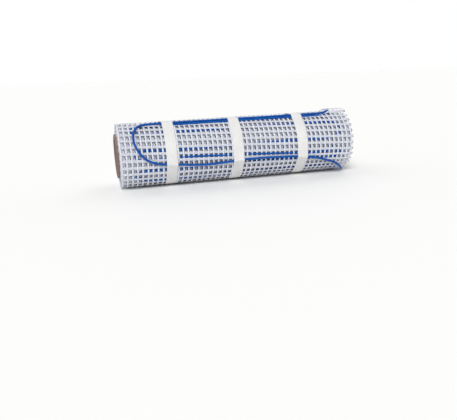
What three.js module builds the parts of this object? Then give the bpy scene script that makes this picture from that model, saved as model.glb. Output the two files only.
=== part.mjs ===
// Rolled underfloor heating mat: a glass-fibre mesh mat with its heating cable,
// wound on a cardboard core and held closed by three strips of tape.
// Millimetres. X runs along the roll, Z is up, and the roll lies on Z = 0.
// Angles round the roll start at the top and grow over the front (-Y) towards the floor.

import * as THREE from 'three';

// Driving dimensions
const matWidth = 500;
const coreDiameter = 90;
const coreWall = 4;
const coreOverhang = 4;
const turnCount = 4;
const turnPitch = 5;
const turnEdge = 2.2;
const turnGrooveDepth = 5;
const cableDiameter = 4.4;
const cableSides = 8;
const cableStep = 12;
const tapeThickness = 0.4;
const tapeWidth = 22.5;
const tapeStrips = [
  { name: 'tape_strip_left', fromEdge: 102 },
  { name: 'tape_strip_middle', fromEdge: 240.5 },
  { name: 'tape_strip_right', fromEdge: 381.5 },
];
const seatGap = 0.3;
const turnedSides = 64;
const tapeArcStep = 6;

// Sizes that follow from them
const coreRadius = coreDiameter / 2;
const coreLength = matWidth + 2 * coreOverhang;
const boreRadius = coreRadius + seatGap;
const matRadius = boreRadius + turnCount * turnPitch;
const cableRadius = cableDiameter / 2;
const cableLineRadius = matRadius + seatGap + cableRadius;
const tapeRadius = matRadius + seatGap;
const tapeOverCable = cableRadius + seatGap;

// A strip runs straight from the mat's round face to the top of each cable run. This is
// the angle between the run and the place where the strip leaves the round face.
const tentAngle = THREE.MathUtils.radToDeg(Math.acos((tapeRadius - tapeOverCable) / cableLineRadius));

// The roll lies on the straight stretch in front of this run, which stops it rolling back.
const floorRun = tentAngle - 180;
const floorEase = 2.5;

// The cable on the outermost turn, as distance from the mat's left edge and angle round
// the roll: from its end at the mat's corner along the front, the top and the back, and
// then beside the mat's free end, where it goes in under it.
const cableRoute = [
  [491, 156], [486, 149], [480, 142], [473, 135], [465, 129.5], [456, 125], [445, 121],
  [430, 116], [412, 111.5], [392, 108], [370, 106], [341, 104.6], [300, 103.4], [270, 103.4],
  [240, 104.2], [205, 106], [178, 107.3], [150, 106.2], [128, 104.2], [102, 102], [76, 99.4],
  [59, 94.5], [46, 86.5], [37, 76.5], [31.5, 66], [29.5, 56], [30.5, 45.5], [34.5, 35.5],
  [41, 27.5], [51, 22.3], [66, 20.2], [102, 20], [240, 20], [381, 20], [430, 19.5], [450, 16],
  [466, 5], [473, -10], [472, -27], [462, -43], [445, -55], [420, -63], [381, -66.5],
  [240, -69.5], [102, -70], [66, -72], [43, -79], [29, -92], [24, -109], [27, -127],
  [36, -142], [49, -151], [62, -156], [72, floorRun], [84, floorRun], [102, floorRun],
  [124, floorRun], [240, floorRun], [381, floorRun], [440, floorRun],
];

// A point on the roll's surface at a radius, a place along X and an angle in degrees
function onRoll(radius, along, angle) {
  const turn = THREE.MathUtils.degToRad(angle);
  return new THREE.Vector3(along, -radius * Math.sin(turn), radius * Math.cos(turn));
}

// The same point in the plane that a strip's outline is drawn in
function inSection(radius, angle) {
  const turn = THREE.MathUtils.degToRad(angle);
  return new THREE.Vector2(-radius * Math.cos(turn), -radius * Math.sin(turn));
}

// The route laid out flat: X along the roll, Y the angle as a length round it
const flatUnit = cableLineRadius * THREE.MathUtils.degToRad(1);
const flatRoute = new THREE.CatmullRomCurve3(
  cableRoute.map(([fromEdge, angle]) => new THREE.Vector3(fromEdge - matWidth / 2, angle * flatUnit, 0)),
  false,
  'centripetal',
);
flatRoute.arcLengthDivisions = 1200;

// The flat route wrapped round the roll
class WrappedRoute extends THREE.Curve {
  getPoint(share) {
    const flat = flatRoute.getPointAt(share);
    return onRoll(cableLineRadius, flat.x, flat.y / flatUnit);
  }
}

function makeMaterial(color, roughness) {
  return new THREE.MeshStandardMaterial({ color, roughness, metalness: 0 });
}

const cardboard = makeMaterial(0xa27f6b, 0.9);
const glassMesh = makeMaterial(0xdcdeea, 0.75);
const cableSheath = makeMaterial(0x1c5fc0, 0.4);
const whiteTape = makeMaterial(0xeeebe5, 0.6);

// A closed profile of [radius, height] points turned about the roll's axis
function turned(name, profile, material) {
  const points = profile.map(([radius, height]) => new THREE.Vector2(radius, height));
  points.push(points[0].clone());
  const mesh = new THREE.Mesh(new THREE.LatheGeometry(points, turnedSides), material);
  mesh.name = name;
  mesh.rotation.z = -Math.PI / 2;
  return mesh;
}

// Cardboard core: a plain tube, a little longer than the mat is wide
function makeCore() {
  const inner = coreRadius - coreWall;
  const end = coreLength / 2;
  return turned('core_tube', [[inner, -end], [coreRadius, -end], [coreRadius, end], [inner, end]], cardboard);
}

// Wound mat: one ring on the core. On both ends the edge of each turn stands out.
function makeMat() {
  const end = matWidth / 2;
  const groove = end - turnGrooveDepth;
  const rightEnd = [];
  for (let turn = turnCount; turn > 0; turn -= 1) {
    const outside = boreRadius + turn * turnPitch;
    const inside = outside - turnEdge;
    rightEnd.push([outside, turn === turnCount ? end : groove], [outside, end]);
    rightEnd.push([inside, end], [inside, groove]);
  }
  rightEnd.shift();
  rightEnd.push([boreRadius, groove]);
  const leftEnd = rightEnd.map(([radius, height]) => [radius, -height]).reverse();
  return turned('mat_roll', [...leftEnd, ...rightEnd], glassMesh);
}

// Heating cable of the outermost turn: one round tube along its whole route
function makeCable() {
  const section = new THREE.Shape();
  for (let side = 0; side < cableSides; side += 1) {
    const turn = (side * 2 * Math.PI) / cableSides;
    const corner = [cableRadius * Math.cos(turn), cableRadius * Math.sin(turn)];
    if (side === 0) section.moveTo(...corner);
    else section.lineTo(...corner);
  }
  section.closePath();
  const route = new WrappedRoute();
  route.arcLengthDivisions = 1200;
  const steps = Math.round(route.getLength() / cableStep);
  const geometry = new THREE.ExtrudeGeometry(section, { steps, bevelEnabled: false, extrudePath: route });
  const mesh = new THREE.Mesh(geometry, cableSheath);
  mesh.name = 'heating_cable';
  return mesh;
}

// Angles, smallest first, at which the cable crosses a ring round the roll
function cableAnglesAt(along) {
  const flat = flatRoute.getSpacedPoints(1200);
  const angles = [];
  for (let index = 1; index < flat.length; index += 1) {
    const before = flat[index - 1];
    const after = flat[index];
    if ((before.x - along) * (after.x - along) <= 0 && before.x !== after.x) {
      const share = (along - before.x) / (after.x - before.x);
      angles.push(THREE.MathUtils.lerp(before.y, after.y, share) / flatUnit);
    }
  }
  return angles.sort((one, other) => one - other);
}

// The line of a strip round the mat and over each cable run, at a height above its underside
function stripLine(runs, height) {
  const points = [];
  const addArc = (centre, radius, from, to) => {
    const steps = Math.max(1, Math.round((to - from) / tapeArcStep));
    for (let step = 0; step <= steps; step += 1) {
      const angle = THREE.MathUtils.lerp(from, to, step / steps);
      points.push(centre.clone().add(inSection(radius, angle)));
    }
  };
  const axis = new THREE.Vector2(0, 0);
  runs.forEach(({ first, last }, index) => {
    const next = index + 1 < runs.length ? runs[index + 1].first : runs[0].first + 360;
    addArc(inSection(cableLineRadius, first), tapeOverCable + height, first - tentAngle, first);
    addArc(inSection(cableLineRadius, last), tapeOverCable + height, last, last + tentAngle);
    addArc(axis, tapeRadius + height, last + tentAngle + floorEase, next - tentAngle - floorEase);
  });
  return points;
}

// One strip of tape right round the mat
function makeStrip({ name, fromEdge }) {
  const left = fromEdge - (matWidth + tapeWidth) / 2;
  const leftAngles = cableAnglesAt(left);
  const rightAngles = cableAnglesAt(left + tapeWidth);
  const runs = leftAngles.map((angle, index) => ({
    first: Math.min(angle, rightAngles[index]),
    last: Math.max(angle, rightAngles[index]) + 0.01,
  }));
  const outline = new THREE.Shape(stripLine(runs, tapeThickness));
  outline.holes.push(new THREE.Path(stripLine(runs, 0)));
  const geometry = new THREE.ExtrudeGeometry(outline, { depth: tapeWidth, steps: 1, bevelEnabled: false });
  const mesh = new THREE.Mesh(geometry, whiteTape);
  mesh.name = name;
  mesh.rotation.y = Math.PI / 2;
  mesh.position.x = left;
  return mesh;
}

const roll = new THREE.Group();
roll.add(makeCore(), makeMat(), makeCable(), ...tapeStrips.map(makeStrip));

// The roll stands on Z = 0, and the middle of its box is over the origin
roll.updateMatrixWorld(true);
const reach = new THREE.Box3().setFromObject(roll, true);
const middle = reach.getCenter(new THREE.Vector3());
roll.position.set(-middle.x, -middle.y, -reach.min.z);

export default roll;
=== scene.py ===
import math

import bmesh
import bpy
import numpy as np
from mathutils import Matrix, Vector


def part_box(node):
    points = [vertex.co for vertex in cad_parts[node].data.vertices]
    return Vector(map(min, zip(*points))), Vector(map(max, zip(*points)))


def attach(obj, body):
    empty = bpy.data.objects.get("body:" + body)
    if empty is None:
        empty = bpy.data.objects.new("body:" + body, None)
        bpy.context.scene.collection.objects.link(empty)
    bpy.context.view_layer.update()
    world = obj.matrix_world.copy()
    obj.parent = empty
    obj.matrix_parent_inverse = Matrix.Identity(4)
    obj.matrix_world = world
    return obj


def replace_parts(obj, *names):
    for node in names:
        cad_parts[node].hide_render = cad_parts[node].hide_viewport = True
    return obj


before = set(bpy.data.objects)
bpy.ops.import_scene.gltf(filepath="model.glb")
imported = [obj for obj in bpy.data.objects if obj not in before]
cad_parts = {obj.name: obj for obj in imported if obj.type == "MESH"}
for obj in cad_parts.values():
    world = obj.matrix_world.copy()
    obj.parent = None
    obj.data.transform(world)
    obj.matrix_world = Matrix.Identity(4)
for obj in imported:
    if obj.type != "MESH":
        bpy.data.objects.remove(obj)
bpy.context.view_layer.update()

mm = 0.001
noise = np.random.default_rng(11)
print("frame loaded")


# The roll, read from the frame
matLow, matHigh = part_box("mat_roll")
coreLow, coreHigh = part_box("core_tube")
axisY = (coreLow.y + coreHigh.y) / 2
axisZ = (coreLow.z + coreHigh.z) / 2
matWidth = matHigh.x - matLow.x
matRadius = (matHigh.y - matLow.y) / 2
coreRadius = (coreHigh.y - coreLow.y) / 2
seatGap = 0.3 * mm

# How the mat is wound. Angles are in degrees, start at the top and grow over the front
# towards the floor. "Swept" is how far a place is in from the mat's outer cut end.
winding = {
    "turns": 4,
    "freeEnd": 197.5,        # angle of the mat's outer cut end
    "diveFrom": 346,         # degrees in from the cut end where a turn steps down to the next
    "diveOver": 60,
    "startTurn": 330,        # degrees of the first turn, which lies on the core
    "slant": 0.047,          # how far the cross yarns lean, as rise over run
    "slantFrom": 120 * mm,   # the lean grows to its full size over this length
}
turnPitch = (matRadius - coreRadius - seatGap) / winding["turns"]
sweepStep = 0.5
sweptSteps = np.arange(0, 360 * winding["turns"] + winding["startTurn"] + 2, sweepStep)


def eased(share):
    share = np.clip(share, 0, 1)
    return share * share * (3 - 2 * share)


def radiusAt(swept):
    # radius of the middle of the mat's thickness
    drops = 0
    for turn in range(winding["turns"]):
        drops = drops + eased((swept - winding["diveFrom"] - 360 * turn) / winding["diveOver"])
    return matRadius - turnPitch * drops


stepRadii = radiusAt(sweptSteps)
stepLengths = np.radians(sweepStep) * (stepRadii[1:] + stepRadii[:-1]) / 2
flatLengths = np.concatenate([[0], np.cumsum(stepLengths)])


def flatLengthAt(swept):
    return float(np.interp(swept, sweptSteps, flatLengths))


# Where the outer turn rides over the cable's loop near its right edge
ride = {
    "from": 205 * mm,
    "over": 8 * mm,
    "rise": 5 * mm,
    "angles": (-66, -48, 14, 24),    # it starts, is full, begins to fade and is gone
}


def rideOver(across, swept):
    angle = winding["freeEnd"] - swept
    first, full, last, gone = ride["angles"]
    share = eased((angle - first) / (full - first)) * eased((gone - angle) / (gone - last))
    share = share * eased((across - ride["from"]) / ride["over"])
    return ride["rise"] * share


def rollUp(flat):
    # flat points: X across the mat, Y along it from its cut end, Z out of its face. Those
    # before the cut end go on at the same radius.
    across, along, out = flat.T
    swept = np.interp(along, flatLengths, sweptSteps) + np.degrees(np.minimum(along, 0) / matRadius)
    angle = np.radians(winding["freeEnd"] - swept)
    radius = radiusAt(swept) + out + rideOver(across, swept)
    return np.stack([across, axisY - radius * np.sin(angle), axisZ + radius * np.cos(angle)], -1)


def getPoints(mesh):
    points = np.zeros(len(mesh.vertices) * 3)
    mesh.vertices.foreach_get("co", points)
    return points.reshape(-1, 3)


def setPoints(mesh, points):
    mesh.vertices.foreach_set("co", points.ravel())
    mesh.update()


def onRoll(radius, along, angle):
    turn = math.radians(angle)
    return Vector((along, axisY - radius * math.sin(turn), axisZ + radius * math.cos(turn)))


def addPiece(name, mesh, materials):
    piece = bpy.data.objects.new(name, mesh)
    bpy.context.scene.collection.objects.link(piece)
    for material in materials:
        mesh.materials.append(material)
    mesh.polygons.foreach_set("use_smooth", [True] * len(mesh.polygons))
    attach(piece, "root")
    return piece


# Shader helpers
def newMaterial(name, roughness, **settings):
    material = bpy.data.materials.new(name)
    material.use_nodes = True
    shader = material.node_tree.nodes["Principled BSDF"]
    shader.inputs["Roughness"].default_value = roughness
    for socket, value in settings.items():
        shader.inputs[socket.replace("_", " ")].default_value = value
    return material, material.node_tree, shader


def addNode(tree, kind, **settings):
    node = tree.nodes.new(kind)
    for key, value in settings.items():
        if key in node.inputs:
            node.inputs[key].default_value = value
        else:
            setattr(node, key, value)
    return node


def newGroup(name, inputs, outputs):
    group = bpy.data.node_groups.new(name, "ShaderNodeTree")
    for label, kind, value in inputs:
        socket = group.interface.new_socket(label, in_out="INPUT", socket_type="NodeSocket" + kind)
        if value is not None:
            socket.default_value = value
    for label, kind in outputs:
        group.interface.new_socket(label, in_out="OUTPUT", socket_type="NodeSocket" + kind)
    entry = group.nodes.new("NodeGroupInput")
    leave = group.nodes.new("NodeGroupOutput")
    return group, entry, leave


def placeGroup(tree, group, **values):
    node = tree.nodes.new("ShaderNodeGroup")
    node.node_tree = group
    for label, value in values.items():
        node.inputs[label].default_value = value
    return node


# Tint and grain: two colours mixed by two noises, and a height for the bump
def makeTintGroup():
    group, entry, leave = newGroup(
        "tintAndGrain",
        [
            ("Place", "Vector", None),
            ("Light", "Color", (1, 1, 1, 1)),
            ("Dark", "Color", (0.5, 0.5, 0.5, 1)),
            ("Patches", "Float", 40.0),
            ("Grain", "Float", 900.0),
        ],
        [("Color", "Color"), ("Height", "Float")],
    )
    links = group.links
    patches = addNode(group, "ShaderNodeTexNoise", Detail=3.0, Roughness=0.6)
    grain = addNode(group, "ShaderNodeTexNoise", Detail=4.0, Roughness=0.65)
    mixed = addNode(group, "ShaderNodeMath", operation="MULTIPLY_ADD")
    mixed.inputs[1].default_value = 0.45
    spread = addNode(group, "ShaderNodeMapRange")
    spread.inputs["From Min"].default_value = 0.5
    spread.inputs["From Max"].default_value = 0.95
    blend = addNode(group, "ShaderNodeMix", data_type="RGBA")
    links.new(entry.outputs["Place"], patches.inputs["Vector"])
    links.new(entry.outputs["Place"], grain.inputs["Vector"])
    links.new(entry.outputs["Patches"], patches.inputs["Scale"])
    links.new(entry.outputs["Grain"], grain.inputs["Scale"])
    links.new(grain.outputs["Fac"], mixed.inputs[0])
    links.new(patches.outputs["Fac"], mixed.inputs[2])
    links.new(mixed.outputs[0], spread.inputs["Value"])
    links.new(spread.outputs["Result"], blend.inputs["Factor"])
    links.new(entry.outputs["Dark"], blend.inputs[6])
    links.new(entry.outputs["Light"], blend.inputs[7])
    links.new(blend.outputs[2], leave.inputs["Color"])
    links.new(grain.outputs["Fac"], leave.inputs["Height"])
    return group


tintGroup = makeTintGroup()


def finishWith(tree, shader, place, bump, distance, **values):
    # tint and grain bump on one shader
    tint = placeGroup(tree, tintGroup, **values)
    relief = addNode(tree, "ShaderNodeBump", Strength=bump, Distance=distance)
    tree.links.new(place, tint.inputs["Place"])
    tree.links.new(tint.outputs["Color"], shader.inputs["Base Color"])
    tree.links.new(tint.outputs["Height"], relief.inputs["Height"])
    tree.links.new(relief.outputs["Normal"], shader.inputs["Normal"])


# Glass-fibre yarn: fine fibres along the yarn, read from the flat mat's own map
def makeYarnMaterial(name, alongScale, acrossScale):
    material, tree, shader = newMaterial(name, 0.55, Sheen_Weight=0.15)
    flatMap = addNode(tree, "ShaderNodeUVMap", uv_map="flatMat")
    stretch = addNode(tree, "ShaderNodeMapping")
    stretch.inputs["Scale"].default_value = (acrossScale, alongScale, 1)
    tree.links.new(flatMap.outputs["UV"], stretch.inputs["Vector"])
    finishWith(
        tree, shader, stretch.outputs["Vector"], 0.5, 0.0002,
        Light=(0.83, 0.85, 0.92, 1), Dark=(0.69, 0.72, 0.81, 1), Patches=1.0, Grain=3.0,
    )
    return material


warpMaterial = makeYarnMaterial("glass_yarn_round", 40, 1600)
weftMaterial = makeYarnMaterial("glass_yarn_across", 1600, 40)


# Mesh mat, made flat and then rolled up. Its yarns run round the roll in pairs of strands,
# and along the roll as flat cross yarns of three lanes.
yarns = {
    "spacingAcross": 10.25 * mm,   # between the yarns that run round the roll
    "firstAcross": 2.5 * mm,       # from the mat's left edge to the first of them
    "spacingAlong": 13.2 * mm,     # between the yarns that run along the roll
    "strandWidth": 2.2 * mm,
    "strandThickness": 0.24 * mm,
    "strandSides": (6, 4),         # on the outermost turn, and on the others
    "stepsPerCell": (4, 3),        # the same
    "swing": 0.85 * mm,            # the two strands of a pair swing this far apart
    "lift": 0.22 * mm,             # and pass this far over and under each cross yarn
    "laneWidth": 1.75 * mm,
    "laneStep": 1.7 * mm,
    "crossThickness": 0.24 * mm,
    "crossSides": 4,
    "crossSteps": 50,
    "innerWidening": 1.6,          # yarns of the inner turns are pressed wider
    "outerEdge": 2.2 * mm,         # least distance from the last pair to the mat's right edge
    "innerEdge": 4 * mm,
    "cutEnd": 1 * mm,              # points this near the mat's edge are a yarn's cut end
    "looseEnd": 1.2 * mm,          # how much the cut ends of cross yarns differ
    "looseSpan": (-1, 0.4),        # in shares of it, from short to long
    "wander": 0.22 * mm,           # how far a yarn strays from its straight line
    "wanderLength": 400 * mm,
}
# how far the pairs of each turn lie to the right of those of the outermost one
turnShifts = [0, 5.1 * mm, 2.6 * mm, 7.4 * mm, 4 * mm]
# angle of one cross yarn on each turn, at a place left of the middle
crossYarnAngles = [37.2, 35.9, 30.0, 31.0, 25.0]
crossYarnPlace = -120 * mm


def flatYarn(width, thickness, length, steps, sides):
    # a flat bar along Y from 0 to its length
    work = bmesh.new()
    bmesh.ops.create_cone(
        work, cap_ends=True, segments=sides, radius1=0.5, radius2=0.5, depth=length
    )
    bmesh.ops.rotate(work, verts=work.verts, matrix=Matrix.Rotation(-math.pi / 2, 3, "X"))
    longEdges = [e for e in work.edges if abs(e.verts[0].co.y - e.verts[1].co.y) > length / 2]
    bmesh.ops.subdivide_edges(work, edges=longEdges, cuts=steps - 1)
    bmesh.ops.scale(work, verts=work.verts, vec=(width, 1, thickness))
    bmesh.ops.translate(work, verts=work.verts, vec=(0, length / 2, 0))
    return work


def arrayed(work, count, step):
    # a bmesh repeated in a row, as one mesh
    base = bpy.data.meshes.new("yarn")
    work.to_mesh(base)
    work.free()
    holder = bpy.data.objects.new("yarn", base)
    bpy.context.scene.collection.objects.link(holder)
    row = holder.modifiers.new("row", "ARRAY")
    row.count = count
    row.use_relative_offset = False
    row.use_constant_offset = True
    row.constant_offset_displace = step
    shaped = holder.evaluated_get(bpy.context.evaluated_depsgraph_get())
    mesh = bpy.data.meshes.new_from_object(shaped)
    each = len(base.vertices)
    bpy.data.objects.remove(holder)
    bpy.data.meshes.remove(base)
    return mesh, each


def wandering(places, index, phase):
    # a slow sideways drift in three waves, different for each yarn
    shift = np.zeros(len(places))
    for wave, share in enumerate((1, 2.3, 5.1)):
        turns = places * share / yarns["wanderLength"]
        shift += np.sin(2 * math.pi * turns + phase[wave][index]) * yarns["wander"] / (wave + 1)
    return shift


def firstCrossYarn(turn):
    # flat length of the first cross yarn of a turn
    start = flatLengthAt(360 * turn)
    place = flatLengthAt(winding["freeEnd"] - crossYarnAngles[turn] + 360 * turn)
    place += winding["slant"] * crossYarnPlace
    return start + (place - start) % yarns["spacingAlong"]


def slanted(points):
    grown = np.clip(points[:, 1] / winding["slantFrom"], 0, 1)
    points[:, 1] -= winding["slant"] * points[:, 0] * grown
    return points


def wideningOf(turn):
    return yarns["innerWidening"] if turn else 1


def makeStrands(turn, start, end):
    # pairs of strands that run round the roll and twist over and under the cross yarns
    spacing = yarns["spacingAlong"]
    firstAcross = yarns["firstAcross"] + turnShifts[turn]
    edge = yarns["innerEdge"] if turn else yarns["outerEdge"]
    count = int((matWidth - edge - firstAcross) / yarns["spacingAcross"]) + 1
    kind = min(turn, 1)
    sides = yarns["strandSides"][kind]
    steps = round((end - start) / spacing * yarns["stepsPerCell"][kind])
    firstCross = firstCrossYarn(turn)
    widening = wideningOf(turn)
    width = yarns["strandWidth"] * widening
    meshes = []
    for side in (0, 1):
        work = flatYarn(width, yarns["strandThickness"], end - start, steps, sides)
        for vert in work.verts:
            vert.co.y += start
            phase = math.pi * ((vert.co.y - firstCross) / spacing + side)
            vert.co.x += yarns["swing"] * widening * math.sin(phase)
            vert.co.z += yarns["lift"] * math.cos(phase)
        mesh, each = arrayed(work, count, (yarns["spacingAcross"], 0, 0))
        meshes.append((mesh, each))
    strays = noise.uniform(-1, 1, count) * yarns["wander"]
    for mesh, each in meshes:
        points = getPoints(mesh)
        index = np.arange(len(points)) // each
        points[:, 0] += firstAcross - matWidth / 2 + strays[index]
        setPoints(mesh, points)
    return [mesh for mesh, each in meshes]


def makeCrossYarns(turn, end):
    # yarns that run along the roll, with their cut ends at both edges of the mat
    spacing = yarns["spacingAlong"]
    first = firstCrossYarn(turn)
    count = int((end - first) / spacing) + 1
    phase = noise.uniform(0, 2 * math.pi, (3, count))
    widening = wideningOf(turn)
    width = yarns["laneWidth"] * widening
    thickness = yarns["crossThickness"]
    lanes = []
    for lane in (-1, 0, 1):
        work = flatYarn(width, thickness, matWidth, yarns["crossSteps"], yarns["crossSides"])
        bmesh.ops.rotate(work, verts=work.verts, matrix=Matrix.Rotation(-math.pi / 2, 3, "Z"))
        middle = first + lane * yarns["laneStep"] * widening
        bmesh.ops.translate(work, verts=work.verts, vec=(-matWidth / 2, middle, 0))
        mesh, each = arrayed(work, count, (0, spacing, 0))
        points = getPoints(mesh)
        index = np.arange(len(points)) // each
        points[:, 1] += wandering(points[:, 0], index, phase)
        atEnd = np.abs(points[:, 0]) > matWidth / 2 - yarns["cutEnd"]
        endShift = noise.uniform(*yarns["looseSpan"], (2, count)) * yarns["looseEnd"]
        side = (points[:, 0] > 0).astype(int)
        points[:, 0] += np.where(atEnd, np.sign(points[:, 0]) * endShift[side, index], 0)
        setPoints(mesh, points)
        lanes.append(mesh)
    return lanes


def joined(meshes, materialOf):
    # several meshes as one, each with its own material number
    work = bmesh.new()
    for mesh, number in zip(meshes, materialOf):
        known = len(work.faces)
        work.from_mesh(mesh)
        work.faces.ensure_lookup_table()
        for face in work.faces[known:]:
            face.material_index = number
        bpy.data.meshes.remove(mesh)
    bmesh.ops.triangulate(work, faces=[face for face in work.faces if len(face.verts) > 4])
    mesh = bpy.data.meshes.new("joined")
    work.to_mesh(mesh)
    work.free()
    return mesh


def keepFlatMap(mesh, points, name="flatMat"):
    # the piece's places when it is flat, which its pattern follows
    layer = mesh.uv_layers.new(name=name)
    corners = np.zeros(len(mesh.loops), int)
    mesh.loops.foreach_get("vertex_index", corners)
    layer.data.foreach_set("uv", points[corners, :2].ravel())


def makeMatTurn(turn):
    start = flatLengthAt(360 * turn)
    end = flatLengthAt(360 * (turn + 1))
    if turn == winding["turns"]:
        end = flatLengthAt(360 * turn + winding["startTurn"])
    strands = makeStrands(turn, start, end)
    across = makeCrossYarns(turn, end)
    mesh = joined([*strands, *across], [0] * len(strands) + [1] * len(across))
    points = getPoints(mesh)
    keepFlatMap(mesh, points)
    setPoints(mesh, rollUp(slanted(points)))
    return addPiece("mesh_turn_%d" % (turn + 1), mesh, [warpMaterial, weftMaterial])


matTurns = [makeMatTurn(turn) for turn in range(winding["turns"] + 1)]
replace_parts(matTurns[0], "mat_roll")
print("mat wound,", sum(len(piece.data.polygons) for piece in matTurns), "faces")


# Heating cable, laid on the mat in loops
cableShape = {
    "radius": 2.2 * mm,
    "sides": 12,
    "step": 3 * mm,
    "underEnd": 2.4 * mm,      # how deep a run is pressed in under the mat's cut end
    "underReach": 80,          # over this many degrees in from the cut end
    "topRun": -335.8,          # the second turn's run beside the outermost turn's top run
    "topBand": 0.7,            # in degrees
    "topRise": 0.7 * mm,       # how far its middle stands out of the mat
    "frontRun": (-271, -257),  # the second turn's run just above the front one
    "frontReach": 165 * mm,
    "frontSink": 1.1 * mm,     # how far its middle lies in the mat
    "stripMargin": 14 * mm,    # it dips down this far before each strip of tape
    "smoothing": 9,            # its radius is a moving mean over this many samples
}

# Tape strips: each is wound once round the roll, tight over the cable, and laps its own start,
# which is at this angle
stripStarts = {"tape_strip_left": -116, "tape_strip_middle": -98, "tape_strip_right": -124}
tape = {
    "thickness": 0.25 * mm,  # grows inwards from the outer face
    "outerFace": matRadius + 0.35 * mm,
    "overCable": 0.1 * mm,   # how far the outer face lies above each cable run
    "lapAngle": 26,
    "lapFrom": 356,          # degrees from its start where a strip rises onto itself
    "lapOver": 5,
    "lapLift": 0.31 * mm,
    "angleStep": 0.75,
    "columns": 14,
}

# The cable's middle line on the outermost turn. The roll lies on the stretch of tape beside
# its last run, floorRun.
cableLineRadius = matRadius + seatGap + cableShape["radius"]
seatReach = (matRadius - cableShape["radius"]) / cableLineRadius
floorRun = math.degrees(math.acos(seatReach)) - 180
# [mm from the left edge, angle round the roll], from the cable's outer end inwards
outerRoute = [
    [491, 156], [486, 149], [480, 142], [473, 135], [465, 129.5], [456, 125], [445, 121],
    [430, 116], [412, 111.5], [392, 108], [370, 106], [341, 104.6], [300, 103.4], [270, 103.4],
    [240, 104.2], [205, 106], [178, 107.3], [150, 106.2], [128, 104.2], [102, 102], [76, 99.4],
    [59, 94.5], [46, 86.5], [37, 76.5], [31.5, 66], [29.5, 56], [30.5, 45.5], [34.5, 35.5],
    [41, 27.5], [51, 22.3], [66, 20.2], [102, 20], [240, 20], [381, 20], [430, 19.5], [450, 16],
    [466, 5], [473, -10], [472, -27], [462, -43], [445, -55], [420, -63], [381, -66.5],
    [240, -69.5], [102, -70], [66, -72], [43, -79], [29, -92], [24, -109], [27, -127],
    [36, -142], [49, -151], [62, -156], [72, floorRun], [84, floorRun], [102, floorRun],
    [124, floorRun], [240, floorRun], [381, floorRun], [440, floorRun],
]
innerRoute = [
    [462, -165], [474, -176], [478, -190], [474, -204], [462, -215], [445, -220.5],
    [420, -221.7], [381, -221.7], [240, -221.7], [102, -221.7], [70, -221.5], [50, -223],
    [36, -228], [30, -235], [36, -242], [50, -246.5], [70, -247.6], [102, -247.6], [240, -248.5],
    [330, -249], [381, -247.5], [430, -245.5], [450, -245], [464, -247], [472, -251.5],
    [470, -256.5], [460, -259], [440, -258.5], [420, -257.5], [400, -257.8], [370, -260],
    [340, -261.5], [300, -263.5], [255, -265.5], [230, -266.5], [200, -267], [160, -268.5],
    [120, -269.3], [88, -268.5], [65, -267], [48, -267.5], [35, -271], [30, -276], [35, -281.5],
    [48, -285], [65, -285], [88, -283.5], [120, -283], [240, -283], [330, -284], [381, -284.5],
    [430, -284], [452, -286], [466, -292], [473, -301], [470, -310], [460, -316], [440, -319],
    [400, -318.8], [240, -318.8], [120, -318.8], [85, -317.5], [60, -316.5], [40, -318],
    [28, -324], [26, -331], [34, -337], [50, -339.5], [68, -339.5], [88, -337], [105, -335.8],
    [240, -335.8], [381, -335.8], [415, -335.8], [440, -337], [456, -342], [468, -354],
    [472, -372], [468, -396], [456, -416], [436, -430], [400, -438], [340, -443], [240, -445],
    [102, -447], [70, -451], [48, -458], [34, -472], [26, -491], [25, -511], [31, -530],
    [44, -544], [64, -552], [102, -554], [240, -553], [350, -552], [400, -554], [430, -559],
    [452, -569], [466, -583], [472, -599], [468, -614], [456, -624], [436, -629], [400, -630.5],
    [350, -632], [300, -634.5], [255, -637.5], [220, -640], [180, -642], [150, -643],
    [120, -644], [84, -647], [62, -654], [46, -665], [36, -680], [32, -697], [36, -714],
    [48, -727], [68, -734], [102, -737], [240, -737], [370, -736], [420, -740], [448, -752],
    [464, -770], [470, -792], [464, -814], [448, -831], [420, -842], [370, -847], [240, -850],
    [102, -853], [68, -857], [44, -870], [30, -891], [26, -915], [32, -938], [46, -954],
    [66, -961], [102, -961.5], [130, -961], [180, -957], [230, -951], [260, -948], [300, -946],
    [360, -942], [416, -942],
]


def spans(knots, reach):
    # knot pairs of one level of the spline's pyramid
    pairs = {1: [(0, 1), (1, 2), (2, 3)], 2: [(0, 2), (1, 3)], 3: [(1, 2)]}[reach]
    return [(knots[first], knots[last]) for first, last in pairs]


def centripetal(points, step):
    # a smooth line through the points, sampled about one step apart
    points = [Vector(point) for point in points]
    ends = [points[0] * 2 - points[1], *points, points[-1] * 2 - points[-2]]
    line = [points[0]]
    for before, start, end, after in zip(ends, ends[1:], ends[2:], ends[3:]):
        knots = [0.0]
        for one, other in ((before, start), (start, end), (end, after)):
            knots.append(knots[-1] + (other - one).length ** 0.5)
        count = max(2, round((end - start).length / step))
        for index in range(1, count + 1):
            at = knots[1] + (knots[2] - knots[1]) * index / count
            level = [before, start, end, after]
            for reach in (1, 2, 3):
                level = [
                    level[i].lerp(level[i + 1], (at - k0) / (k1 - k0))
                    for i, (k0, k1) in enumerate(spans(knots, reach))
                ]
            line.append(level[0])
    return line


flatUnit = math.radians(cableLineRadius)    # length round the roll for one degree
wholeRoute = [
    (fromEdge * mm - matWidth / 2, angle * flatUnit) for fromEdge, angle in outerRoute + innerRoute
]
flatLine = np.array(centripetal(wholeRoute, cableShape["step"]))
lineAlong = flatLine[:, 0]
lineAngles = flatLine[:, 1] / flatUnit


def nearStrip(along, margin):
    near = np.zeros(len(along), bool)
    for name in stripStarts:
        low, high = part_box(name)
        near |= (along > low.x - margin) & (along < high.x + margin)
    return near


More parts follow.
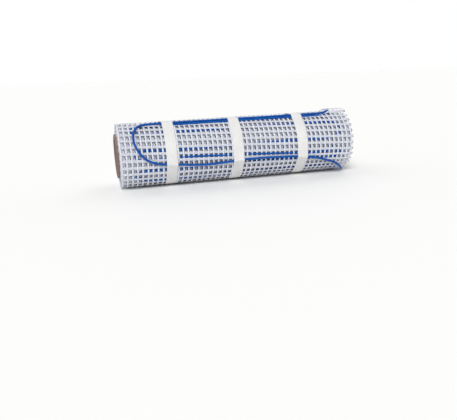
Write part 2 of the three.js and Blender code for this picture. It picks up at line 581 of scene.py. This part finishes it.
def cableRadii(along, angles):
    # the cable lies on the mesh, and goes in flat under the mat's cut end
    radii = radiusAt(winding["freeEnd"] - angles) + seatGap + cableShape["radius"]
    # two runs of the second turn push out between the outer turn's yarns
    topRun = np.abs(angles - cableShape["topRun"]) < cableShape["topBand"]
    radii = np.where(topRun, matRadius + cableShape["topRise"], radii)
    first, last = cableShape["frontRun"]
    frontRun = (angles > first) & (angles < last) & (np.abs(along) < cableShape["frontReach"])
    frontRun &= ~nearStrip(along, cableShape["stripMargin"])
    radii = np.where(frontRun, matRadius - cableShape["frontSink"], radii)
    innerEnd = winding["freeEnd"] - 360
    underEnd = (angles < innerEnd) & (angles > innerEnd - cableShape["underReach"])
    pressed = matRadius - cableShape["underEnd"]
    radii = np.where(underEnd, np.minimum(radii, pressed), radii)
    window = cableShape["smoothing"]
    padded = np.pad(radii, window // 2, mode="edge")
    return np.convolve(padded, np.ones(window) / window, mode="valid")


def makeCableMaterial():
    material, tree, shader = newMaterial("blue_cable_sheath", 0.5, Specular_IOR_Level=0.15)
    place = addNode(tree, "ShaderNodeTexCoord")
    finishWith(
        tree, shader, place.outputs["Object"], 0.15, 0.0002,
        Light=(0.004, 0.105, 0.44, 1), Dark=(0.003, 0.07, 0.32, 1), Patches=60.0, Grain=1500.0,
    )
    return material


def makeCable():
    # a round section pushed along the line
    radii = cableRadii(lineAlong, lineAngles)
    line = [onRoll(r, x, a) for r, x, a in zip(radii, lineAlong, lineAngles)]
    work = bmesh.new()
    sides = cableShape["sides"]
    ring = bmesh.ops.create_circle(work, cap_ends=True, segments=sides, radius=cableShape["radius"])
    previous = None
    edges = list(work.edges)
    verts = ring["verts"]
    for index, point in enumerate(line):
        ahead = line[min(index + 1, len(line) - 1)] - line[max(index - 1, 0)]
        outward = Vector((0, point.y - axisY, point.z - axisZ)).normalized()
        side = ahead.cross(outward).normalized()
        rise = side.cross(ahead).normalized()
        turned = Matrix((side, rise, ahead.normalized())).transposed().to_4x4()
        turned.translation = point
        if previous is not None:
            pushed = bmesh.ops.extrude_edge_only(work, edges=edges)
            verts = [item for item in pushed["geom"] if isinstance(item, bmesh.types.BMVert)]
            edges = [item for item in pushed["geom"] if isinstance(item, bmesh.types.BMEdge)]
            edges = [edge for edge in edges if all(vert in verts for vert in edge.verts)]
            bmesh.ops.transform(work, verts=verts, matrix=turned @ previous.inverted())
        else:
            bmesh.ops.transform(work, verts=verts, matrix=turned)
        previous = turned
    bmesh.ops.contextual_create(work, geom=edges)
    bmesh.ops.recalc_face_normals(work, faces=work.faces)
    mesh = bpy.data.meshes.new("heating_cable_loops")
    work.to_mesh(mesh)
    work.free()
    print("cable laid,", round(sum((b - a).length for a, b in zip(line, line[1:])), 2), "m long")
    return addPiece("heating_cable_loops", mesh, [makeCableMaterial()])


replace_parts(makeCable(), "heating_cable")


def cableAnglesAt(along):
    # angles at which the outer turn of the cable crosses a ring round the roll
    outer = lineAngles > innerRoute[0][1]
    x, angle = lineAlong[outer], lineAngles[outer]
    crossing = (x[:-1] - along) * (x[1:] - along) <= 0
    return (angle[:-1][crossing] + angle[1:][crossing]) / 2


def beltRadius(angles, along):
    # radius of a tight belt's outer face over the mat and over each cable run
    bump = cableShape["radius"] + tape["overCable"]
    lean = math.acos((tape["outerFace"] - bump) / cableLineRadius)
    leave = math.atan2(bump * math.sin(lean), cableLineRadius + bump * math.cos(lean))
    radius = np.full(len(angles), tape["outerFace"])
    for run in cableAnglesAt(along):
        off = np.radians(np.abs((angles - run + 180) % 360 - 180))
        straight = tape["outerFace"] / np.cos(lean - np.clip(off, 0, lean))
        beside = np.clip(off, 0, leave)
        spare = np.clip(bump**2 - (cableLineRadius * np.sin(beside)) ** 2, 0, None)
        over = cableLineRadius * np.cos(beside) + np.sqrt(spare)
        reach = np.where(off < leave, over, straight)
        radius = np.where(off < lean, np.maximum(radius, reach), radius)
    return radius


def makeTapeMaterial():
    material, tree, shader = newMaterial("white_tape", 0.6, Specular_IOR_Level=0.3)
    flatMap = addNode(tree, "ShaderNodeUVMap", uv_map="flatTape")
    stretch = addNode(tree, "ShaderNodeMapping")
    stretch.inputs["Scale"].default_value = (3, 1, 1)
    tree.links.new(flatMap.outputs["UV"], stretch.inputs["Vector"])
    finishWith(
        tree, shader, stretch.outputs["Vector"], 0.2, 0.0003,
        Light=(0.82, 0.82, 0.82, 1), Dark=(0.74, 0.73, 0.72, 1), Patches=30.0, Grain=700.0,
    )
    return material


tapeMaterial = makeTapeMaterial()


def makeStrip(name, startAngle):
    low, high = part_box(name)
    rows = round((360 + tape["lapAngle"]) / tape["angleStep"])
    work = bmesh.new()
    bmesh.ops.create_grid(work, x_segments=tape["columns"], y_segments=rows, size=0.5)
    mesh = bpy.data.meshes.new(name)
    work.to_mesh(mesh)
    work.free()
    grid = getPoints(mesh)
    along = (grid[:, 0] + 0.5) * (high.x - low.x) + low.x
    swept = (grid[:, 1] + 0.5) * (360 + tape["lapAngle"])
    angles = startAngle + swept
    radius = np.zeros(len(grid))
    for column in np.unique(along):
        here = along == column
        radius[here] = beltRadius(angles[here], column)
    radius += eased((swept - tape["lapFrom"]) / tape["lapOver"]) * tape["lapLift"]
    keepFlatMap(mesh, np.stack([along, swept * math.radians(tape["outerFace"])], -1), "flatTape")
    turn = np.radians(angles)
    places = [along, axisY - radius * np.sin(turn), axisZ + radius * np.cos(turn)]
    setPoints(mesh, np.stack(places, -1))
    piece = addPiece(name + "_wound", mesh, [tapeMaterial])
    wall = piece.modifiers.new("thickness", "SOLIDIFY")
    wall.thickness = tape["thickness"]
    wall.offset = 1
    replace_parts(piece, name)


for name, startAngle in stripStarts.items():
    makeStrip(name, startAngle)
print("tape wound")


# Cardboard core: a wound paper tube with cut ends
core = {
    "wall": 4 * mm,
    "segments": 160,
    "edgeRound": 0.35 * mm,
    "edgeSteps": 2,
    "tolerance": 1e-6,         # two corners this close in height or radius are level
}


def makeCardboardMaterial():
    material, tree, shader = newMaterial("brown_cardboard", 0.85, Sheen_Weight=0.1)
    place = addNode(tree, "ShaderNodeTexCoord")
    finishWith(
        tree, shader, place.outputs["Object"], 0.35, 0.0004,
        Light=(0.27, 0.19, 0.155, 1), Dark=(0.17, 0.12, 0.1, 1), Patches=35.0, Grain=1400.0,
    )
    return material


def makeCore():
    length = coreHigh.x - coreLow.x
    inner = coreRadius - core["wall"]
    work = bmesh.new()
    bmesh.ops.create_circle(work, segments=core["segments"], radius=inner)
    out = bmesh.ops.extrude_edge_only(work, edges=work.edges[:])
    rim = [item for item in out["geom"] if isinstance(item, bmesh.types.BMVert)]
    bmesh.ops.scale(work, verts=rim, vec=(coreRadius / inner, coreRadius / inner, 1))
    tube = bmesh.ops.extrude_face_region(work, geom=work.faces[:])
    top = [item for item in tube["geom"] if isinstance(item, bmesh.types.BMVert)]
    bmesh.ops.translate(work, verts=top, vec=(0, 0, length))
    near = core["tolerance"]
    ends = [e for e in work.edges if abs(e.verts[0].co.z - e.verts[1].co.z) < near]
    ends = [e for e in ends if abs(e.verts[0].co.xy.length - e.verts[1].co.xy.length) < near]
    bmesh.ops.bevel(
        work, geom=ends, offset=core["edgeRound"], segments=core["edgeSteps"], profile=0.5,
        affect="EDGES", material=-1,
    )
    bmesh.ops.rotate(work, verts=work.verts, matrix=Matrix.Rotation(math.pi / 2, 3, "Y"))
    bmesh.ops.translate(work, verts=work.verts, vec=(coreLow.x, axisY, axisZ))
    bmesh.ops.recalc_face_normals(work, faces=work.faces)
    mesh = bpy.data.meshes.new("core_tube_paper")
    work.to_mesh(mesh)
    work.free()
    return addPiece("core_tube_paper", mesh, [makeCardboardMaterial()])


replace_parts(makeCore(), "core_tube")
print("core made")


# Pale floor and soft studio light
studio = {
    "floorSize": 6,
    "floorColor": (0.96, 0.96, 0.95, 1),
    "dimmest": 0.3,        # the world's strength in front of the roll, and 1 behind it
    "brightFrom": 0.35,    # share of the way to straight behind at which it is 1
    "sunPlace": (-0.6, -1.3, 1.35),
    "sunStrength": 2.1,
    "sunSpread": 22,
}


def makeStage():
    work = bmesh.new()
    bmesh.ops.create_grid(work, x_segments=1, y_segments=1, size=studio["floorSize"])
    mesh = bpy.data.meshes.new("floor")
    work.to_mesh(mesh)
    work.free()
    floor = bpy.data.objects.new("floor", mesh)
    bpy.context.scene.collection.objects.link(floor)
    material, tree, shader = newMaterial("pale_floor", 0.7)
    shader.inputs["Base Color"].default_value = studio["floorColor"]
    mesh.materials.append(material)
    world = bpy.data.worlds.new("studio")
    world.use_nodes = True
    # bright behind the roll, dimmer in front and above
    tree = world.node_tree
    place = addNode(tree, "ShaderNodeTexCoord")
    split = addNode(tree, "ShaderNodeSeparateXYZ")
    spread = addNode(tree, "ShaderNodeMapRange")
    spread.inputs["From Max"].default_value = studio["brightFrom"]
    spread.inputs["To Min"].default_value = studio["dimmest"]
    tree.links.new(place.outputs["Generated"], split.inputs["Vector"])
    tree.links.new(split.outputs["Y"], spread.inputs["Value"])
    tree.links.new(spread.outputs["Result"], tree.nodes["Background"].inputs["Strength"])
    tree.nodes["Background"].inputs["Color"].default_value = (1, 1, 1, 1)
    bpy.context.scene.world = world


def addSun(name, place, strength, spread):
    # a far, wide lamp that shines from a direction towards the roll
    data = bpy.data.lights.new(name, "SUN")
    data.energy = strength
    data.angle = math.radians(spread)
    light = bpy.data.objects.new(name, data)
    bpy.context.scene.collection.objects.link(light)
    light.location = place
    light.rotation_euler = (-Vector(place)).to_track_quat("-Z", "Y").to_euler()


makeStage()
addSun("key_light", studio["sunPlace"], studio["sunStrength"], studio["sunSpread"])


# Camera at the photograph's viewing angle
view = {
    "place": (-0.3186, -1.1199, 0.2546),
    "yaw": 15.0,
    "pitch": 15.8,
    "roll": -1.94,
    "lens": 42.617,
    "sensor": 36,
}


def makeCamera():
    yaw, pitch, roll = (math.radians(view[key]) for key in ("yaw", "pitch", "roll"))
    ahead = Vector((
        math.sin(yaw) * math.cos(pitch), math.cos(yaw) * math.cos(pitch), -math.sin(pitch)
    ))
    right = Vector((math.cos(yaw), -math.sin(yaw), 0))
    up = right.cross(ahead)
    tilted = right * math.cos(roll) + up * math.sin(roll)
    data = bpy.data.cameras.new("camera")
    data.lens = view["lens"]
    data.sensor_width = view["sensor"]
    camera = bpy.data.objects.new("camera", data)
    bpy.context.scene.collection.objects.link(camera)
    turned = Matrix((tilted, tilted.cross(ahead), -ahead)).transposed().to_4x4()
    turned.translation = view["place"]
    camera.matrix_world = turned
    bpy.context.scene.camera = camera


makeCamera()
bpy.context.scene.view_settings.view_transform = "Standard"
print("stage, lights and camera set")
